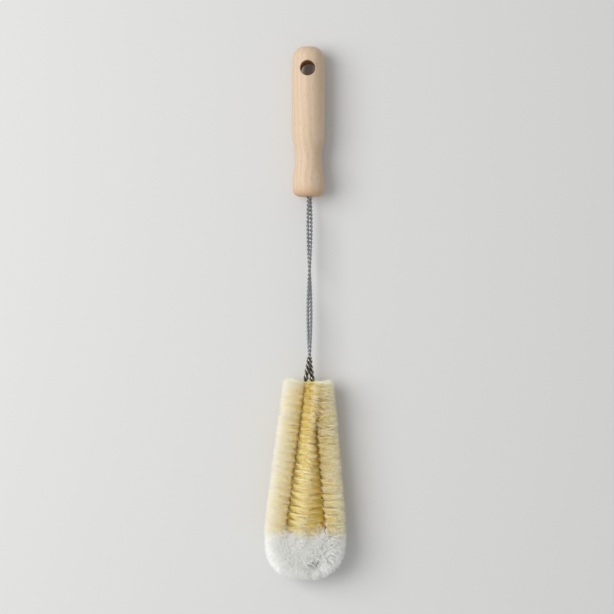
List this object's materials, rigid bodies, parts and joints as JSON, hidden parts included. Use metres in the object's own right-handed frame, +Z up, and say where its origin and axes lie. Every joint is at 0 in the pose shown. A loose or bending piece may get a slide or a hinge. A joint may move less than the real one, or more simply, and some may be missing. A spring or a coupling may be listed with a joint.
{
  "type": "bottle brush",
  "caption": "Long-handled bottle brush: turned wooden handle with a hanging hole, twisted wire stem, and a loop-shaped head of natural bristles with a white tuft at its tip.",
  "frame": {"origin": "on the surface that the brush lies on, under the middle of its box", "axes": "+Y along the brush from the bristle tip towards the handle, +Z up from the surface, +X across the head"},
  "size_m": [0.0608, 0.3906, 0.0309],
  "materials": {
    "beech_wood": "satin",
    "steel_wire": "satin",
    "yellow_bristle": "matte",
    "white_bristle": "matte"
  },
  "bodies": {
    "root": {"handle": "beech_wood", "wire_a": "steel_wire", "wire_b": "steel_wire", "bristles_left": "yellow_bristle", "bristles_right": "yellow_bristle", "bristles_tip": "white_bristle"}
  },
  "joints": []
}
